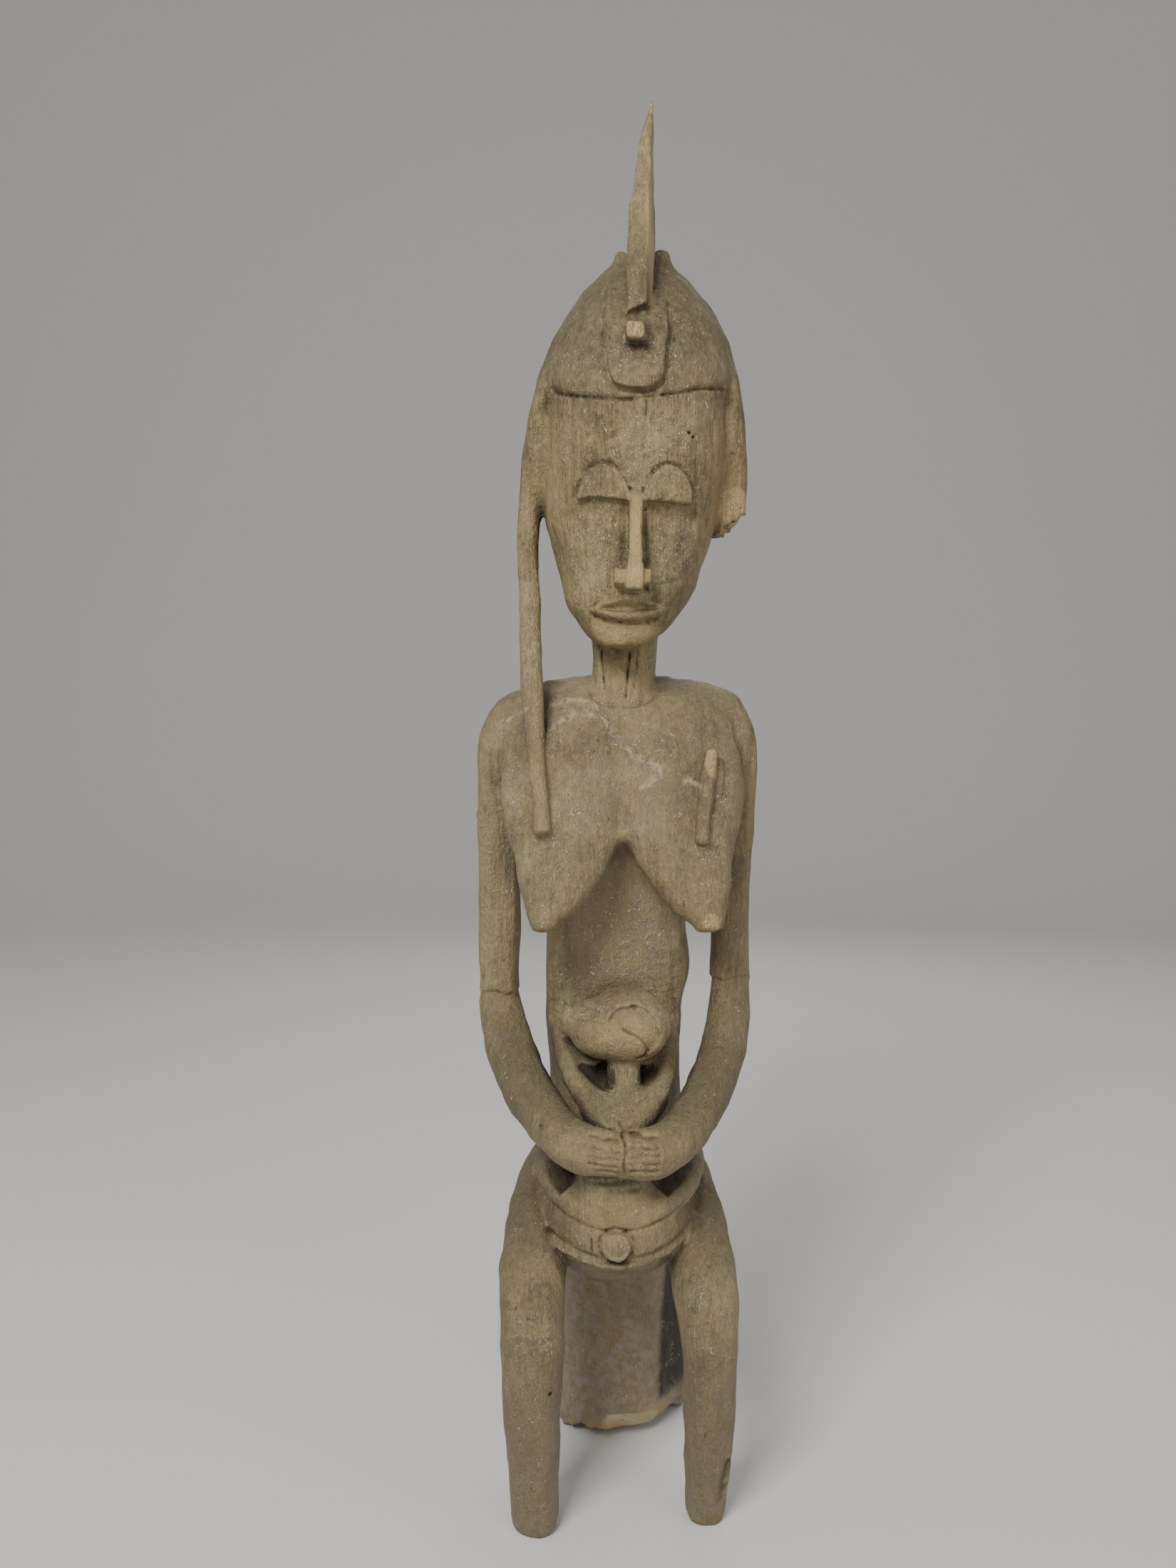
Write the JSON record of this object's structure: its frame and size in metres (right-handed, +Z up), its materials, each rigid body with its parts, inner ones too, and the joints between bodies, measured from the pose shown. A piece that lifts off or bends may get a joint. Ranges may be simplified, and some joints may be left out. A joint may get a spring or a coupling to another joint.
{
  "type": "african maternity figure",
  "caption": "Weathered carved wooden mother seated on a round stool, clasping a child that clings to her front, with a horned cap and long braids.",
  "frame": {"origin": "on the floor, under the middle of the figure's box", "axes": "+Z up, -Y the way the mother looks, +X to the right of someone who faces her"},
  "size_m": [0.2308, 0.2798, 1.1202],
  "materials": {
    "weathered_wood": "matte, dry and worn"
  },
  "bodies": {
    "root": {"figure": "weathered_wood"}
  },
  "joints": []
}
